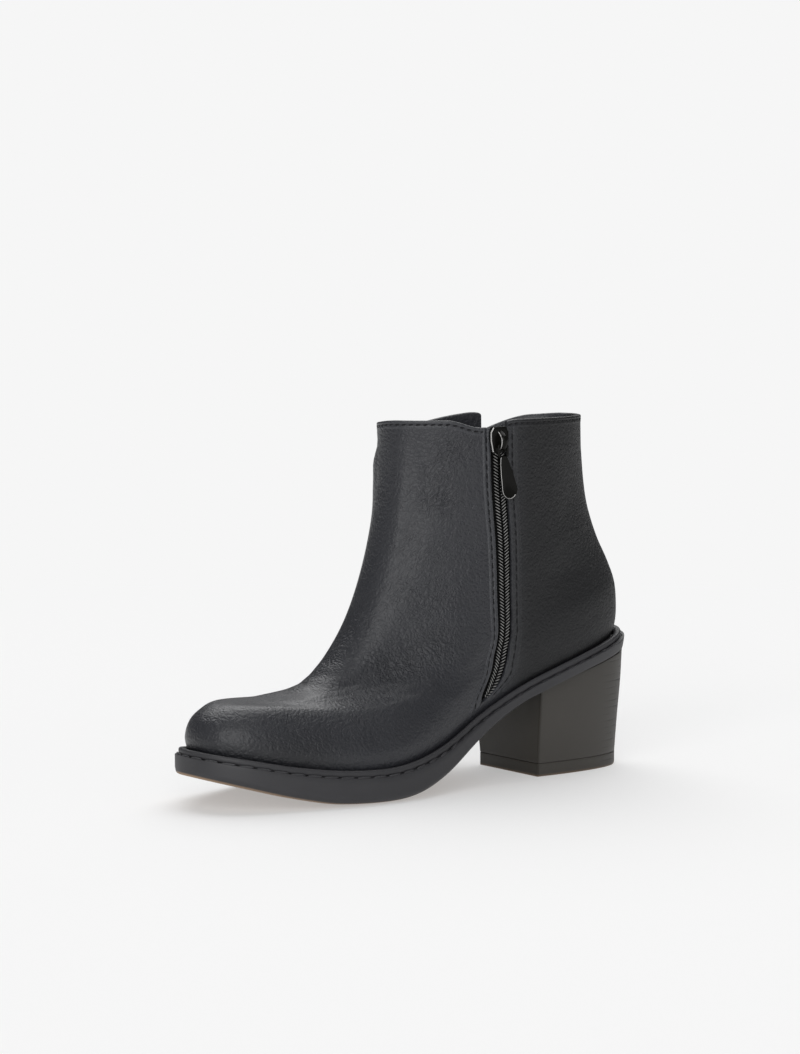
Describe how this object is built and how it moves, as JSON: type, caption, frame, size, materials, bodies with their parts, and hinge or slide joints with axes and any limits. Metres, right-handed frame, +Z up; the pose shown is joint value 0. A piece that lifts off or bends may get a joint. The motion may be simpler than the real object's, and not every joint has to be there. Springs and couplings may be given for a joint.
{
  "type": "ankle boot",
  "caption": "Right-foot ankle boot: hollow leather upper with an inner-side zip and hinged pull, an outer strap end, beaded welt, curved sole and block heel.",
  "frame": {"origin": "middle of the boot's box in plan, on the floor plane that heel tip and forefoot stand on", "axes": "+Y from the toe to the heel, +X to the inner side of the foot with the zip, +Z up"},
  "size_m": [0.0886, 0.2382, 0.1644],
  "materials": {
    "leather": "satin, fine grain with small wrinkles",
    "rubber": "smooth, low sheen",
    "lining": "matt lining cloth",
    "zip_cloth": "matt woven tape",
    "zip_teeth": "satin coil",
    "black_metal": "gloss black lacquer"
  },
  "bodies": {
    "boot": {"upper": "leather", "welt": "rubber", "outsole": "rubber", "heel_block": "rubber", "heel_tip": "rubber", "insole": "lining", "zip_tape": "zip_cloth", "zip_chain": "zip_teeth", "zip_slider": "black_metal", "side_strap": "leather"},
    "zip_pull": {"zip_pull": "black_metal"}
  },
  "joints": [
    {"name": "pull_hinge", "type": "hinge", "parent": "boot", "child": "zip_pull", "pos_m": [0.03421, 0.02801, 0.15321], "axis": [-0.1581, -0.9871, -0.0257], "range_deg": [-4, 170]}
  ]
}
